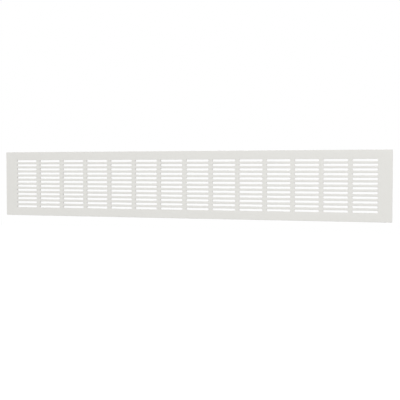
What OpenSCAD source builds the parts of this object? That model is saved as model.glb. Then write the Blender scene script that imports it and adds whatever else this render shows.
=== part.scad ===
// Slim slotted grille: one length of aluminium profile, punched, cut to length and powder coated.
// X runs along the grille, Z runs up its height, and the face looks towards -Y.
// The origin is the middle of the plane on which the flange seats: the back of the face.

/* [Face] */
// Length of the grille
plate_l = 480; // [200:10:1200]
// Height of the grille
plate_h = 80; // [60:5:160]
// Thickness of the face, its slats and its bars
face_t = 2; // [1.2:0.1:3]
// Radius of the four corners, seen from the front
corner_r = 1; // [0.5:0.25:4]
// Radius along the two long front edges
edge_r = 0.5; // [0.2:0.1:1]

/* [Slots] */
// Length of a slot from tip to tip, with full-round ends
slot_l = 27.8; // [12:0.2:50]
// Height of a slot
slot_h = 2.5; // [1.5:0.1:5]
// Width of the upright bar between two slots of a row
bar_w = 4.6; // [3:0.2:12]
// Height of the slat between two rows
slat_h = 2.7; // [1.5:0.1:6]

/* [Back] */
// Width of the flange that covers the edge of the cut-out, all round
flange_w = 8; // [4:0.5:12]
// Depth of the two long webs behind the face
web_d = 8; // [4:0.5:20]
// Thickness of a web
web_t = 1.2; // [1:0.1:2]
// Radius at the two corners of a web's tip
tip_r = 0.4; // [0.1:0.05:0.45]
// Fillet where a web's inner side meets the face
root_r = 0.6; // [0.2:0.1:0.8]
// Least plain metal between a web and the nearest row of slots
web_land = 0.9; // [0.8:0.1:4]
// Least plain metal between the end of the webs and the nearest slots
end_land = 7; // [2:0.5:20]

/* [Hidden] */
$fn = 48;
coat = [0.88, 0.88, 0.86];

// How far a cutting tool stands clear of the metal it passes through
clear = 1;

// The slot field takes as many slots as fit between the lands, and is centred on the face
pitch_x = slot_l + bar_w;
pitch_z = slot_h + slat_h;
room_l = plate_l - 2 * (flange_w + end_land);
room_h = plate_h - 2 * (flange_w + web_t + web_land);
columns = floor((room_l + bar_w) / pitch_x);
rows = floor((room_h + slat_h) / pitch_z);

// Outer and inner side of a web, from the middle of the face
web_out = plate_h / 2 - flange_w;
web_in = web_out - web_t;
web_l = plate_l - 2 * flange_w;

// Places of so many things at one pitch, centred on 0
function centred(count, pitch) = [for (i = [0 : count - 1]) (i - (count - 1) / 2) * pitch];

// Draws a section in Y and Z, and runs it along X, centred on the middle of the grille
module along_x(length) {
    rotate([90, 0, 90])
        linear_extrude(height = length, center = true)
            children();
}

// Draws an outline in X and Z, and runs it from one depth in Y to another
module along_y(from, to) {
    translate([0, to, 0])
        rotate([90, 0, 0])
            linear_extrude(height = to - from)
                children();
}

// Rectangle with four round corners
module rounded_rectangle(length, height, radius) {
    square([length - 2 * radius, height], center = true);
    square([length, height - 2 * radius], center = true);
    for (x = [-1, 1], y = [-1, 1])
        translate([x * (length / 2 - radius), y * (height / 2 - radius)])
            circle(r = radius);
}

// Slot with full-round ends
module slot_outline() {
    square([slot_l - slot_h, slot_h], center = true);
    for (side = [-1, 1])
        translate([side * (slot_l - slot_h) / 2, 0])
            circle(d = slot_h);
}

// Section of the face, with its two front corners rounded
module face_section() {
    translate([-face_t, -plate_h / 2 + edge_r])
        square([face_t, plate_h - 2 * edge_r]);
    translate([-face_t + edge_r, -plate_h / 2])
        square([face_t - edge_r, plate_h]);
    for (side = [-1, 1])
        translate([-face_t + edge_r, side * (plate_h / 2 - edge_r)])
            circle(r = edge_r);
}

// Section of the upper web, from the middle of the face's thickness to its rounded tip
module web_section() {
    translate([-face_t / 2, web_in])
        square([face_t / 2 + web_d - tip_r, web_t]);
    translate([web_d - 2 * tip_r, web_in + tip_r])
        square([2 * tip_r, web_t - 2 * tip_r]);
    for (z = [web_in + tip_r, web_out - tip_r])
        translate([web_d - tip_r, z])
            circle(r = tip_r);
}

// Fillet at the inner root of the upper web, limited by the land beside it
module root_fillet_section() {
    radius = min(root_r, web_land);
    difference() {
        translate([-face_t / 2, web_in - radius])
            square([face_t / 2 + radius, radius + web_t / 2]);
        translate([radius, web_in - radius])
            circle(r = radius);
    }
}

// Whole section of the profile: face and two webs, one the mirror image of the other
module profile_section() {
    face_section();
    for (side = [0, 1])
        mirror([0, side]) {
            web_section();
            root_fillet_section();
        }
}

// Profile as it leaves the die, cut to length and rounded at the corners of its face
module blank() {
    intersection() {
        along_x(plate_l)
            profile_section();
        along_y(-face_t - clear, web_d + clear)
            rounded_rectangle(plate_l, plate_h, corner_r);
    }
}

// What the punch takes out: one slot at each crossing of a column and a row
module punched_slots() {
    along_y(-face_t - clear, clear)
        for (x = centred(columns, pitch_x), z = centred(rows, pitch_z))
            translate([x, z])
                slot_outline();
}

// What is milled off both webs at one end, so that the flange is as wide there as elsewhere
module web_setback(side) {
    translate([side * (web_l + flange_w + clear) / 2, (web_d + clear) / 2, 0])
        cube([flange_w + clear, web_d + clear, plate_h + 2 * clear], center = true);
}

// The one-piece grille
module grille() {
    color(coat)
        difference() {
            blank();
            punched_slots();
            for (side = [-1, 1])
                web_setback(side);
        }
}

grille();
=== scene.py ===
"""Looks of a slim transfer grille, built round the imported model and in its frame.

X runs along the grille, Z runs up its height, and the face looks towards -Y. Sizes are in metres.
"""
import logging
import math
from dataclasses import dataclass, fields
from enum import Enum
from typing import Any

import bmesh
import bpy
from mathutils import Euler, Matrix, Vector


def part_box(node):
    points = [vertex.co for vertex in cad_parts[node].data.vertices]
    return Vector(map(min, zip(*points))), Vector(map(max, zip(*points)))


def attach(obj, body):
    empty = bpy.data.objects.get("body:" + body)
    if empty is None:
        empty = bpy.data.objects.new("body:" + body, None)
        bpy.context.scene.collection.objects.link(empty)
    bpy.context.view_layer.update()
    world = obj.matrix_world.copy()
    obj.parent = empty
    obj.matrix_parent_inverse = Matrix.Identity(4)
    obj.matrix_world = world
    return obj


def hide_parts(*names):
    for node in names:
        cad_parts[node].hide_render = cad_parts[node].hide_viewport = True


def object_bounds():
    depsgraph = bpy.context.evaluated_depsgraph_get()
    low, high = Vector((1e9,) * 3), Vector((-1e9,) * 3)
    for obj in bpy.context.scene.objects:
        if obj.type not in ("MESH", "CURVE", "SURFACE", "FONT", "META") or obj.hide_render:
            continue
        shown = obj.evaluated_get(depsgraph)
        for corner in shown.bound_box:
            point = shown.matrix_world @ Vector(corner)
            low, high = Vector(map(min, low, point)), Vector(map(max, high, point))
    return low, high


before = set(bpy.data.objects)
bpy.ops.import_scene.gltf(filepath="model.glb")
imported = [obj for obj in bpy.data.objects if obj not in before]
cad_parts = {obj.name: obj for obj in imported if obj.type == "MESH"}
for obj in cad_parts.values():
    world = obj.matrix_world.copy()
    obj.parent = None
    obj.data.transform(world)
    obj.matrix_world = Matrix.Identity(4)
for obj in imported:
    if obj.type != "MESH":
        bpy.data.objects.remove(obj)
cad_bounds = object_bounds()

MM = 0.001
CAD_NODE = "grille"
BODY = "root"
log = logging.getLogger("grille")


class Wire:
    """Output of a node. Arithmetic on wires and numbers adds the Math nodes that it needs."""

    def __init__(self, graph: "Graph", socket: bpy.types.NodeSocket) -> None:
        """Keeps the socket and the graph that it is in."""
        self.graph = graph
        self.socket = socket

    def __add__(self, other: "Wire | float") -> "Wire":
        """Sum."""
        return self.graph.math("ADD", self, other)

    def __radd__(self, other: float) -> "Wire":
        """Sum, with the number first."""
        return self.graph.math("ADD", other, self)

    def __sub__(self, other: "Wire | float") -> "Wire":
        """Difference."""
        return self.graph.math("SUBTRACT", self, other)

    def __rsub__(self, other: float) -> "Wire":
        """Difference, with the number first."""
        return self.graph.math("SUBTRACT", other, self)

    def __mul__(self, other: "Wire | float") -> "Wire":
        """Product."""
        return self.graph.math("MULTIPLY", self, other)

    def __rmul__(self, other: float) -> "Wire":
        """Product, with the number first."""
        return self.graph.math("MULTIPLY", other, self)

    def __truediv__(self, other: "Wire | float") -> "Wire":
        """Quotient."""
        return self.graph.math("DIVIDE", self, other)

    def __rtruediv__(self, other: float) -> "Wire":
        """Quotient, with the number first."""
        return self.graph.math("DIVIDE", other, self)

    def __mod__(self, other: "Wire | float") -> "Wire":
        """Remainder."""
        return self.graph.math("MODULO", self, other)

    def __gt__(self, other: "Wire | float") -> "Wire":
        """1 where this is the greater, and 0 elsewhere."""
        return self.graph.math("GREATER_THAN", self, other)

    def __lt__(self, other: "Wire | float") -> "Wire":
        """1 where this is the smaller, and 0 elsewhere."""
        return self.graph.math("LESS_THAN", self, other)

    def near(self, other: "Wire | float", tolerance: float) -> "Wire":
        """1 where the two differ by less than the tolerance, and 0 elsewhere."""
        return self.graph.math("COMPARE", self, other, tolerance)

    def clamped(self) -> "Wire":
        """The value held between 0 and 1."""
        return self.graph.add("ShaderNodeClamp", inputs={"Value": self})


class Graph:
    """Tree of nodes under construction, of a shader or of a geometry modifier."""

    def __init__(self, tree: bpy.types.NodeTree) -> None:
        """Takes a tree and empties it."""
        self.tree = tree
        self.tree.nodes.clear()

    def add(
        self,
        kind: str,
        settings: dict[str, Any] | None = None,
        inputs: dict[str | int, Any] | None = None,
        output: str | int = 0,
    ) -> Wire:
        """Adds one node.

        Args:
            kind: the node's type.
            settings: its own settings, set first because they decide what sockets it shows.
            inputs: a value, a wire or a list of wires for each socket, by name or by number.
            output: the output to return, by name or by number.

        Returns:
            That output.
        """
        node = self._place(kind, settings or {}, inputs or {})
        return Wire(self, self._socket(node.outputs, output))

    def end(self, kind: str, inputs: dict[str | int, Any]) -> None:
        """Adds the node that takes the tree's result."""
        self._place(kind, {}, inputs)

    def output_of(self, wire: Wire, name: str) -> Wire:
        """Another output of the node that a wire comes from."""
        return Wire(self, self._socket(wire.socket.node.outputs, name))

    def math(self, operation: str, *values: Wire | float) -> Wire:
        """Adds a Math node of that operation, with those values in their order."""
        return self.add("ShaderNodeMath", {"operation": operation}, dict(enumerate(values)))

    def vector(self, x: Wire | float, y: Wire | float, z: Wire | float) -> Wire:
        """Joins three numbers to a vector."""
        return self.add("ShaderNodeCombineXYZ", inputs={"X": x, "Y": y, "Z": z})

    def split(self, vector: Wire) -> tuple[Wire, Wire, Wire]:
        """Takes a vector apart into its three numbers."""
        x = self.add("ShaderNodeSeparateXYZ", inputs={"Vector": vector})
        return x, self.output_of(x, "Y"), self.output_of(x, "Z")

    def _place(self, kind: str, settings: dict[str, Any], inputs: dict[str | int, Any]) -> bpy.types.Node:
        """Makes a node, sets it and feeds its inputs."""
        node = self.tree.nodes.new(kind)
        for name, value in settings.items():
            setattr(node, name, value)
        for key, value in inputs.items():
            self._feed(self._socket(node.inputs, key), value)
        return node

    def _socket(self, sockets: Any, key: str | int) -> bpy.types.NodeSocket:
        """Finds a socket by its number, or the one in use among those of a name."""
        if isinstance(key, int):
            return sockets[key]
        return next(socket for socket in sockets if socket.name == key and socket.enabled)

    def _feed(self, socket: bpy.types.NodeSocket, value: Any) -> None:
        """Links or sets one input."""
        if isinstance(value, Wire):
            self.tree.links.new(value.socket, socket)
        elif isinstance(value, list):
            for wire in value:
                self.tree.links.new(wire.socket, socket)
        else:
            socket.default_value = value


@dataclass(frozen=True)
class PowderCoat:
    """Satin powder coat: one pale colour with a slow drift of tone, fine specks and an orange peel."""

    light: tuple[float, float, float] = (0.775, 0.767, 0.736)
    dark: tuple[float, float, float] = (0.745, 0.738, 0.708)
    drift_size: float = 90 * MM
    speck_size: float = 0.35 * MM
    peel_size: float = 1.5 * MM
    peel_depth: float = 0.018 * MM
    grain_size: float = 0.3 * MM
    roughness: float = 0.42
    roughness_spread: float = 0.10
    specular: float = 0.42

    def material(self, name: str) -> bpy.types.Material:
        """Builds the material.

        Args:
            name: the material's name.

        Returns:
            The material, whose pattern follows the piece's own coordinates.
        """
        material = bpy.data.materials.new(name)
        material.use_nodes = True
        graph = Graph(material.node_tree)
        place = graph.add("ShaderNodeTexCoord", output="Object")
        drift = self._noise(graph, place, self.drift_size, 1)
        speck = self._noise(graph, place, self.speck_size, 2)
        peel = self._noise(graph, place, self.peel_size, 1)
        grain = self._noise(graph, place, self.grain_size, 0)
        blend = {"Factor": (0.6 * drift + 0.4 * speck).clamped(), "A": (*self.dark, 1), "B": (*self.light, 1)}
        relief = {"Strength": 1, "Distance": self.peel_depth, "Height": 0.85 * peel + 0.15 * grain}
        surface = {
            "Base Color": graph.add("ShaderNodeMix", {"data_type": "RGBA"}, blend, "Result"),
            "Roughness": self.roughness + self.roughness_spread * (speck - 0.5),
            "Specular IOR Level": self.specular,
            "Normal": graph.add("ShaderNodeBump", inputs=relief),
        }
        graph.end("ShaderNodeOutputMaterial", {"Surface": graph.add("ShaderNodeBsdfPrincipled", inputs=surface)})
        return material

    def _noise(self, graph: Graph, place: Wire, size: float, detail: float) -> Wire:
        """Noise whose humps are about one size wide."""
        return graph.add("ShaderNodeTexNoise", inputs={"Vector": place, "Scale": 1 / size, "Detail": detail})


class Side(Enum):
    """The way in which a flat skin faces."""

    FRONT = "front"
    BACK = "back"


@dataclass(frozen=True)
class SlottedProfile:
    """Length of aluminium profile with a punched face and two long webs on its back."""

    length: float
    height: float
    face_thickness: float
    web_depth: float
    corner_radius: float = 1.0 * MM
    drawn_edge_radius: float = 0.5 * MM
    cut_edge_radius: float = 0.2 * MM
    slot_length: float = 27.8 * MM
    slot_height: float = 2.5 * MM
    bar_width: float = 4.6 * MM
    slat_height: float = 2.7 * MM
    columns: int = 14
    rows: int = 12
    front_lip_radius: float = 0.22 * MM
    back_lip_radius: float = 0.12 * MM
    flange_width: float = 8.0 * MM
    web_thickness: float = 1.2 * MM
    tip_radius: float = 0.4 * MM
    root_radius: float = 0.6 * MM

    @classmethod
    def from_node(cls, node: str) -> "SlottedProfile":
        """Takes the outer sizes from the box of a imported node, whose seat is the plane Y = 0."""
        low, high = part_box(node)
        return cls(high.x - low.x, high.z - low.z, -low.y, high.y)

    def build(self, name: str, coat: bpy.types.Material) -> bpy.types.Object:
        """Makes the profile's mesh.

        Args:
            name: the name of the piece.
            coat: the material that covers it.

        Returns:
            An object at the origin, with one closed mesh and no modifiers.
        """
        maker = bpy.data.objects.new("profile_maker", bpy.data.meshes.new("profile_maker"))
        bpy.context.scene.collection.objects.link(maker)
        modifier = maker.modifiers.new("profile", "NODES")
        modifier.node_group = ProfileTree(self).build()
        values = {ProfileTree.title(field.name): getattr(self, field.name) for field in fields(self)}
        values["Material"] = coat
        for item in modifier.node_group.interface.items_tree:
            if item.in_out == "INPUT":
                modifier[item.identifier] = values[item.name]
        weighted = maker.modifiers.new("normals", "WEIGHTED_NORMAL")
        weighted.keep_sharp = True
        weighted.weight = 100
        shaped = maker.evaluated_get(bpy.context.evaluated_depsgraph_get())
        piece = bpy.data.objects.new(name, bpy.data.meshes.new_from_object(shaped))
        piece.data.name = name
        bpy.data.objects.remove(maker)
        bpy.context.scene.collection.objects.link(piece)
        return piece

    def dress(self, piece: bpy.types.Object) -> None:
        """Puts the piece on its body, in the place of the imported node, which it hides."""
        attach(piece, BODY)
        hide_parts(CAD_NODE)


class ProfileTree:
    """Geometry nodes of the profile, drawn face up: local Y is its height, and local Z is towards the front."""

    END_STEPS = 8
    EDGE_STEPS = 3
    LIP_STEPS = 1
    CORNER_STEPS = 4
    WEB_CORNER_STEPS = 2
    REACH = 1.5 * MM
    SAME_PLACE = 0.002 * MM
    SAME_PLANE = 0.01 * MM
    CREASE = math.radians(50)
    VECTOR = {"data_type": "FLOAT_VECTOR"}
    AS_VECTOR = {"data_type": "FLOAT_VECTOR", "domain": "POINT"}

    def __init__(self, profile: SlottedProfile) -> None:
        """Makes an empty tree with one named input for each size of the profile."""
        self.graph = Graph(bpy.data.node_groups.new("slotted_profile", "GeometryNodeTree"))
        sockets = self.graph.tree.interface
        sockets.new_socket("Geometry", in_out="OUTPUT", socket_type="NodeSocketGeometry")
        for field in fields(profile):
            kind = "NodeSocketInt" if isinstance(getattr(profile, field.name), int) else "NodeSocketFloat"
            sockets.new_socket(self.title(field.name), in_out="INPUT", socket_type=kind)
        sockets.new_socket("Material", in_out="INPUT", socket_type="NodeSocketMaterial")
        given = self.graph.add("NodeGroupInput")
        self.size = {field.name: self.graph.output_of(given, self.title(field.name)) for field in fields(profile)}
        self.material = self.graph.output_of(given, "Material")

    @staticmethod
    def title(name: str) -> str:
        """Name of the input that takes one size."""
        return name.replace("_", " ").title()

    def build(self) -> bpy.types.NodeTree:
        """Adds all nodes.

        Returns:
            The tree, which gives one closed mesh with its material.
        """
        walls = self._join(self._slots(), self._border(), self._web(0), self._web(math.pi))
        skins = [
            self._skin(walls, self.size["face_thickness"], Side.FRONT),
            self._skin(walls, 0, Side.BACK),
            self._skin(walls, 0 - self.size["web_depth"], Side.BACK),
        ]
        shell = self._change("MergeByDistance", self._join(walls, *skins), {"Distance": self.SAME_PLACE})
        smooth = self._change("SetShadeSmooth", shell, {"Shade Smooth": True}, {"domain": "FACE"})
        creases = self.graph.add("GeometryNodeInputMeshEdgeAngle") > self.CREASE
        creased = self._change(
            "SetShadeSmooth", smooth, {"Selection": creases, "Shade Smooth": False}, {"domain": "EDGE"}
        )
        upright = self._change("Transform", creased, {"Rotation": Euler((math.pi / 2, 0, 0))})
        real = self._change("RealizeInstances", upright)
        self.graph.end("NodeGroupOutput", {"Geometry": self._change("SetMaterial", real, {"Material": self.material})})
        return self.graph.tree

    def _change(
        self,
        kind: str,
        geometry: Wire,
        inputs: dict[str, Any] | None = None,
        settings: dict[str, Any] | None = None,
    ) -> Wire:
        """Passes a geometry, as the first input, through one geometry node."""
        return self.graph.add("GeometryNode" + kind, settings, {0: geometry, **(inputs or {})})

    def _join(self, *parts: Wire) -> Wire:
        """Joins several geometries to one."""
        return self.graph.add("GeometryNodeJoinGeometry", inputs={"Geometry": list(parts)})

    def _stadium(self, length: Wire, height: Wire) -> Wire:
        """Closed outline with two full-round ends, on a circle's points that are placed anew."""
        per_end = self.END_STEPS + 1
        index = self.graph.add("GeometryNodeInputIndex")
        is_left = index > self.END_STEPS + 0.5
        angle = (index % per_end) * (math.pi / self.END_STEPS) + is_left * math.pi - math.pi / 2
        reach = (1 - 2 * is_left) * (length - height) / 2
        x = reach + self.graph.math("COSINE", angle) * height / 2
        y = self.graph.math("SINE", angle) * height / 2
        circle = self.graph.add("GeometryNodeCurvePrimitiveCircle", inputs={"Resolution": 2 * per_end})
        return self._change("SetPosition", circle, {"Position": self.graph.vector(x, y, 0)})

    def _rectangle(self, width: Wire, height: Wire, radius: Wire, steps: int) -> Wire:
        """Closed outline with four round corners."""
        sharp = self.graph.add(
            "GeometryNodeCurvePrimitiveQuadrilateral", {"mode": "RECTANGLE"}, {"Width": width, "Height": height}
        )
        return self._change("FilletCurve", sharp, {"Count": steps, "Radius": radius}, {"mode": "POLY"})

    def _section(
        self, start: Wire | float, end: Wire | float, turns: tuple[int, int], radii: tuple[Wire, Wire], steps: int
    ) -> Wire:
        """Open section of a wall that turns into a flat skin at both of its ends.

        Args:
            start: how far the wall's first end lies below the local plane Z = 0.
            end: how far its other end lies below that plane.
            turns: for each end, 1 where the skin lies outside the path and -1 where it lies inside.
            radii: the radius between the wall and each skin.
            steps: the straight steps in each of the two rounds.

        Returns:
            A curve that starts and ends where the rounds meet the skins.
        """
        graph = self.graph
        corners = {
            "Point 1": graph.vector(turns[0] * self.REACH, start, 0),
            "Point 2": graph.vector(0, start, 0),
            "Point 3": graph.vector(0, end, 0),
            "Point 4": graph.vector(turns[1] * self.REACH, end, 0),
        }
        closed = graph.add("GeometryNodeCurvePrimitiveQuadrilateral", {"mode": "POINTS"}, corners)
        line = self._change("SetSplineCyclic", closed, {"Cyclic": False})
        is_end = graph.add("GeometryNodeInputIndex") > 1.5
        radius = radii[0] + (radii[1] - radii[0]) * is_end
        rounded = self._change("FilletCurve", line, {"Count": steps, "Radius": radius}, {"mode": "POLY"})
        tails = graph.add("GeometryNodeCurveEndpointSelection")
        return self._change("DeleteGeometry", rounded, {"Selection": tails}, {"domain": "POINT"})

    def _sweep(self, path: Wire, section: Wire) -> Wire:
        """Runs a section along a closed path: its X points out of the path, and its Y points down."""
        level = self._change("SetCurveNormal", path, settings={"mode": "Z_UP"})
        return self._change("CurveToMesh", level, {"Profile Curve": section})

    def _slots(self) -> Wire:
        """The walls of all slots, each with a rounded lip in front and a smaller one behind."""
        size = self.size
        radii = (size["back_lip_radius"], size["front_lip_radius"])
        section = self._section(0, 0 - size["face_thickness"], (1, 1), radii, self.LIP_STEPS)
        slot = self._sweep(self._stadium(size["slot_length"], size["slot_height"]), section)
        pitch_x = size["slot_length"] + size["bar_width"]
        pitch_y = size["slot_height"] + size["slat_height"]
        grid = {
            "Size X": pitch_x * (size["columns"] - 1),
            "Size Y": pitch_y * (size["rows"] - 1),
            "Vertices X": size["columns"],
            "Vertices Y": size["rows"],
        }
        places = self.graph.add("GeometryNodeMeshGrid", inputs=grid)
        return self._change("RealizeInstances", self._change("InstanceOnPoints", places, {"Instance": slot}))

    def _sweep_with_shares(
        self, path: Wire, section: Wire, heights: tuple[Wire | float, Wire | float], shares: tuple[Wire, Wire]
    ) -> Wire:
        """Runs a section along a path, and scales its rounds about their sharp corners on the way.

        Args:
            path: the closed outline.
            section: the section, with its rounds at full radius.
            heights: the local Z of the lower and of the upper sharp corner.
            shares: what share of its radius each of these corners gets, read on the path's points.

        Returns:
            The wall.
        """
        graph = self.graph
        here = graph.add("GeometryNodeInputPosition")
        kept = {"corner": here, "shares": graph.vector(shares[0], shares[1], 0)}
        read = {}
        for name, value in kept.items():
            path = self._change("StoreNamedAttribute", path, {"Name": name, "Value": value}, self.AS_VECTOR)
            read[name] = graph.add("GeometryNodeInputNamedAttribute", self.VECTOR, {"Name": name}, "Attribute")
        wall = self._sweep(path, section)
        x, y, _ = graph.split(read["corner"])
        low_share, high_share, _ = graph.split(read["shares"])
        _, _, z = graph.split(here)
        is_high = z > (heights[0] + heights[1]) / 2
        blend = {
            "Factor": low_share + (high_share - low_share) * is_high,
            "A": graph.vector(x, y, heights[0] + (heights[1] - heights[0]) * is_high),
            "B": here,
        }
        scaled = graph.add("ShaderNodeMix", {"data_type": "VECTOR"}, blend, "Result")
        wall = self._change("SetPosition", wall, {"Position": scaled})
        for name in kept:
            wall = self._change("RemoveAttribute", wall, {"Name": name})
        return wall

    def _end_share(self, length: Wire, radius: Wire, at_end: Wire) -> Wire:
        """Share of a radius along a path: all of it on the long sides, and less round the sawn ends.

        Args:
            length: the path's length along X.
            radius: the radius of the path's corners, over which the share changes.
            at_end: the share at the ends.

        Returns:
            The share, to be read on the path's points.
        """
        x, _, _ = self.graph.split(self.graph.add("GeometryNodeInputPosition"))
        into_corner = (self.graph.math("ABSOLUTE", x) - length / 2 + radius) / radius
        return 1 - (1 - at_end) * into_corner.clamped()

    def _border(self) -> Wire:
        """The outer edge of the face: rounded where it was drawn, and only broken where it was sawn."""
        size = self.size
        path = self._rectangle(size["length"], size["height"], size["corner_radius"], self.CORNER_STEPS)
        radii = (size["drawn_edge_radius"], size["cut_edge_radius"])
        section = self._section(0 - size["face_thickness"], 0, (-1, -1), radii, self.EDGE_STEPS)
        at_end = size["cut_edge_radius"] / size["drawn_edge_radius"]
        front = self._end_share(size["length"], size["corner_radius"], at_end)
        return self._sweep_with_shares(path, section, (0, size["face_thickness"]), (1 - 0 * front, front))

    def _web(self, turn: float) -> Wire:
        """One web on the back, with a fillet at its inner root.

        Args:
            turn: how far the upper web is turned about Z to its place.

        Returns:
            The web's wall, open at its root and at its tip.
        """
        size = self.size
        length = size["length"] - 2 * size["flange_width"]
        middle = size["height"] / 2 - size["flange_width"] - size["web_thickness"] / 2
        path = self._rectangle(length, size["web_thickness"], size["cut_edge_radius"], self.WEB_CORNER_STEPS)
        radii = (size["root_radius"], size["tip_radius"])
        section = self._section(0, size["web_depth"], (1, -1), radii, self.EDGE_STEPS)
        _, y, _ = self.graph.split(self.graph.add("GeometryNodeInputPosition"))
        inner_side = y < self.SAME_PLANE - size["web_thickness"] / 2
        at_end = size["cut_edge_radius"] / size["tip_radius"]
        tip = self._end_share(length, size["cut_edge_radius"], at_end)
        wall = self._sweep_with_shares(path, section, (0 - size["web_depth"], 0), (tip, inner_side))
        place = {"Translation": self.graph.vector(0, middle, 0)}
        return self._change("Transform", self._change("Transform", wall, place), {"Rotation": Euler((0, 0, turn))})

    def _skin(self, walls: Wire, height: Wire | float, side: Side) -> Wire:
        """Flat skin that closes every open rim at one height, with a hole wherever one rim lies in another.

        Args:
            walls: all walls.
            height: the local Z of the rims.
            side: the way in which the skin faces.

        Returns:
            The skin alone.
        """
        graph = self.graph
        _, _, z = graph.split(graph.add("GeometryNodeInputPosition"))
        is_open = graph.add("GeometryNodeInputMeshEdgeNeighbors").near(1, 0.5)
        rims = self._change("MeshToCurve", walls, {"Selection": is_open * z.near(height, self.SAME_PLANE)})
        flat = self._change("FillCurve", rims, settings={"mode": "TRIANGLES"})
        skin = self._change("Transform", flat, {"Translation": graph.vector(0, 0, height)})
        return self._change("FlipFaces", skin) if side is Side.BACK else skin


@dataclass(frozen=True)
class Softbox:
    """Square area lamp that is aimed at the middle of the grille."""

    name: str
    place: tuple[float, float, float]
    width: float
    power: float

    def build(self) -> None:
        """Makes the lamp."""
        lamp = bpy.data.lights.new(self.name, "AREA")
        lamp.shape = "SQUARE"
        lamp.size = self.width
        lamp.energy = self.power
        holder = bpy.data.objects.new(self.name, lamp)
        holder.location = self.place
        holder.rotation_euler = (-Vector(self.place)).to_track_quat("-Z", "Y").to_euler()
        bpy.context.scene.collection.objects.link(holder)


@dataclass(frozen=True)
class Studio:
    """Plain pale floor in a white surround, under soft lamps."""

    floor_drop: float = 0.60
    floor_width: float = 14.0
    floor_tone: float = 0.80
    floor_glow: float = 1.5
    glow_share: float = 0.55
    ambient: float = 0.57
    lamps: tuple[Softbox, ...] = (
        Softbox("key", (0.45, -2.3, 1.2), 1.6, 29.0),
        Softbox("top", (-0.3, -0.3, 2.2), 1.5, 8.0),
    )

    def build(self) -> None:
        """Makes the surround, the floor and the lamps."""
        self._surround()
        self._floor()
        for lamp in self.lamps:
            lamp.build()
        bpy.context.scene.view_settings.view_transform = "Standard"

    def _seen(self, graph: Graph) -> Wire:
        """1 for what the camera sees, straight or by way of gloss or glass, and 0 for what lights the object."""
        camera = graph.add("ShaderNodeLightPath", output="Is Camera Ray")
        glossy = graph.output_of(camera, "Is Glossy Ray")
        return (camera + glossy + graph.output_of(camera, "Is Transmission Ray")).clamped()

    def _surround(self) -> None:
        """World that looks white and lights the object at a plain level."""
        world = bpy.data.worlds.new("surround")
        bpy.context.scene.world = world
        world.use_nodes = True
        graph = Graph(world.node_tree)
        strength = self.ambient + (1 - self.ambient) * self._seen(graph)
        shine = graph.add("ShaderNodeBackground", inputs={"Color": (1, 1, 1, 1), "Strength": strength})
        graph.end("ShaderNodeOutputWorld", {"Surface": shine})

    def _floor(self) -> bpy.types.Object:
        """Wide floor below the grille, which looks white and still takes its shadow."""
        mesh = bpy.data.meshes.new("floor")
        shape = bmesh.new()
        bmesh.ops.create_grid(shape, x_segments=1, y_segments=1, size=self.floor_width / 2)
        bmesh.ops.translate(shape, verts=shape.verts, vec=(0, 0, cad_bounds[0].z - self.floor_drop))
        shape.to_mesh(mesh)
        shape.free()
        material = bpy.data.materials.new("floor")
        material.use_nodes = True
        graph = Graph(material.node_tree)
        paint = graph.add("ShaderNodeBsdfDiffuse", inputs={"Color": (*[self.floor_tone] * 3, 1)})
        glow = graph.add("ShaderNodeEmission", inputs={"Color": (1, 1, 1, 1), "Strength": self.floor_glow})
        share = self.glow_share * self._seen(graph)
        graph.end(
            "ShaderNodeOutputMaterial",
            {"Surface": graph.add("ShaderNodeMixShader", inputs={0: share, 1: paint, 2: glow})},
        )
        mesh.materials.append(material)
        floor = bpy.data.objects.new("floor", mesh)
        bpy.context.scene.collection.objects.link(floor)
        return floor


@dataclass(frozen=True)
class Viewpoint:
    """Camera at the photograph's viewing angle, a little to the right of the middle and level with the top slots."""

    place: tuple[float, float, float] = (0.2916, -0.8618, 0.0188)
    turned_left: float = math.radians(17.55)
    tipped_down: float = math.radians(2.326)
    lens_mm: float = 68.91
    sensor_mm: float = 36.0

    def build(self) -> None:
        """Makes the camera and hands it to the scene."""
        lens = bpy.data.cameras.new("camera")
        lens.lens = self.lens_mm
        lens.sensor_width = self.sensor_mm
        camera = bpy.data.objects.new("camera", lens)
        camera.location = self.place
        camera.rotation_euler = (math.pi / 2 - self.tipped_down, 0, self.turned_left)
        bpy.context.scene.collection.objects.link(camera)
        bpy.context.scene.camera = camera


def report(piece: bpy.types.Object) -> None:
    """Logs how large a piece is, and whether its mesh is closed."""
    shape = bmesh.new()
    shape.from_mesh(piece.data)
    open_edges = sum(not edge.is_manifold for edge in shape.edges)
    triangles = len(shape.calc_loop_triangles())
    volume = shape.calc_volume(signed=True) / MM**3
    shape.free()
    log.info("%s: %d triangles, %d open edges, %.0f mm3", piece.name, triangles, open_edges, volume)


def main() -> None:
    """Builds the camera, the studio and the grille."""
    logging.basicConfig(level=logging.INFO, format="%(message)s")
    Viewpoint().build()
    Studio().build()
    coat = PowderCoat().material("powder_coat")
    profile = SlottedProfile.from_node(CAD_NODE)
    piece = profile.build("slotted_profile", coat)
    profile.dress(piece)
    report(piece)


if __name__ == "__main__":
    main()
